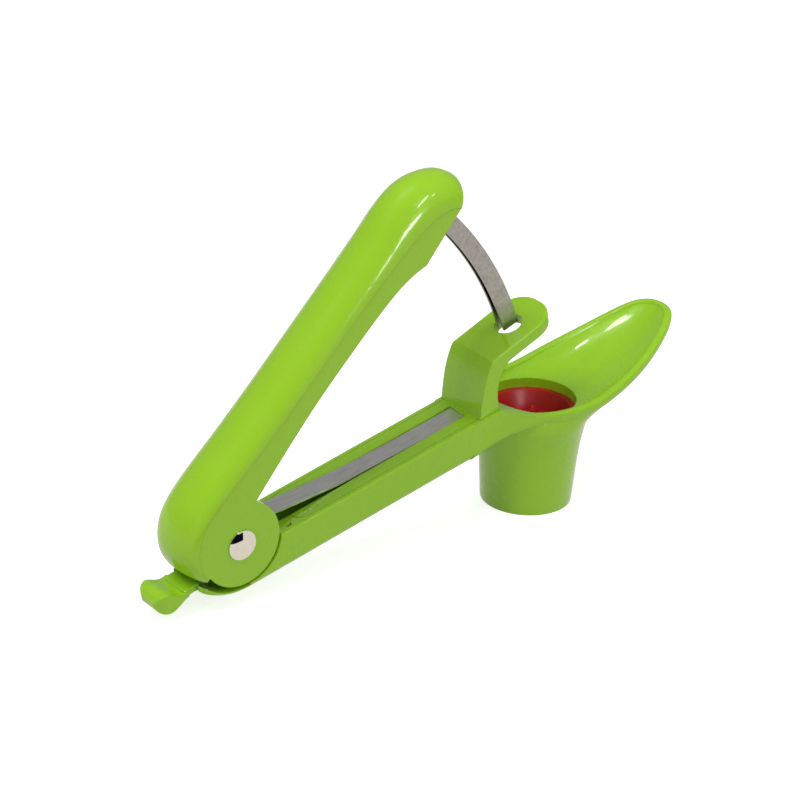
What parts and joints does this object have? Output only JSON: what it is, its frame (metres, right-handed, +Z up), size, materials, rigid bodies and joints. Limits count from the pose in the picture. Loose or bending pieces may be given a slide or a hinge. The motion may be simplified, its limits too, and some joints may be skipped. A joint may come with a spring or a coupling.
{
  "type": "cherry pitter",
  "caption": "Hand-held lever tool: a sprung upper lever drives a curved punch through a guide arm into a cup with a soft seat and a feeding scoop.",
  "frame": {"origin": "centre of the cup's open foot, where the pit drops out", "axes": "+X from the pivot towards the scoop's tip, +Y to the tool's left, +Z up along the cup"},
  "size_m": [0.1733, 0.0338, 0.1054],
  "materials": {
    "green_plastic": "glossy lime green moulded plastic",
    "red_silicone": "soft satin red silicone",
    "spring_steel": "satin spring steel",
    "punch_steel": "brushed stainless sheet",
    "rivet_chrome": "polished"
  },
  "bodies": {
    "handle": {"lower_handle": "green_plastic", "cherry_seat": "red_silicone", "guide_arm": "green_plastic", "leaf_spring": "spring_steel"},
    "lever": {"lever_frame": "green_plastic", "lever_cover": "green_plastic", "punch": "punch_steel", "pivot_pin": "rivet_chrome", "pin_cap": "rivet_chrome"},
    "lock": {"lock_slider": "green_plastic"}
  },
  "joints": [
    {"name": "lever_hinge", "type": "hinge", "parent": "handle", "child": "lever", "pos_m": [-0.10289, 0, 0.01848], "axis": [0, 1, 0], "range_deg": [0, 27.5], "stiffness_Nm_per_rad": 0.8, "springref_deg": -28.65, "deforming": ["leaf_spring"]},
    {"name": "lock_slide", "type": "slide", "parent": "handle", "child": "lock", "axis": [0.9744, 0, 0.225], "range_m": [0, 0.0034]}
  ]
}
